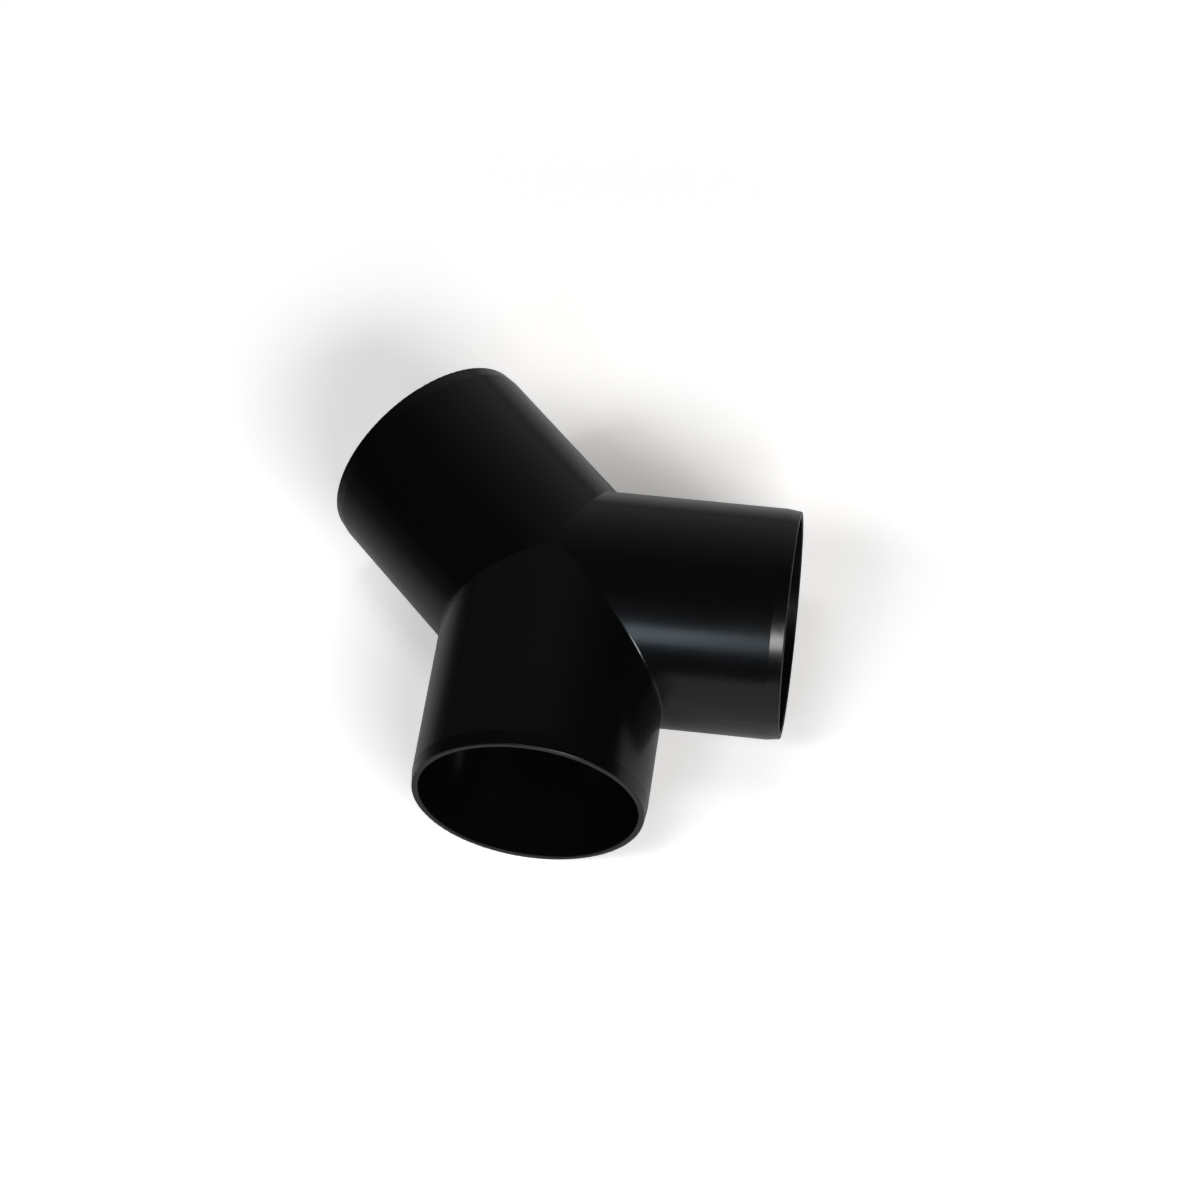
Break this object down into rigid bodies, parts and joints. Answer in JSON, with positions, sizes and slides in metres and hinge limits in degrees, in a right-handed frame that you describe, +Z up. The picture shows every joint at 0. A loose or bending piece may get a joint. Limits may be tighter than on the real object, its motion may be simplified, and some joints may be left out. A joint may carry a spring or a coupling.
{
  "type": "wye duct fitting",
  "caption": "Equal wye fitting for flexible air duct: a straight trunk parts into two branches at a right angle to each other, all round spigots of one size.",
  "frame": {"origin": "the point where the axes of the three legs meet", "axes": "+Y along the trunk's axis and out of its mouth, +Z up and square to the plane of the three axes, +X towards the right branch's side; the fitting lies on the undersides of its legs at z = -37.5 mm"},
  "size_m": [0.1578, 0.1547, 0.075],
  "materials": {
    "moulded_plastic": "satin black, as moulded"
  },
  "bodies": {
    "root": {"wye_body": "moulded_plastic"}
  },
  "joints": []
}
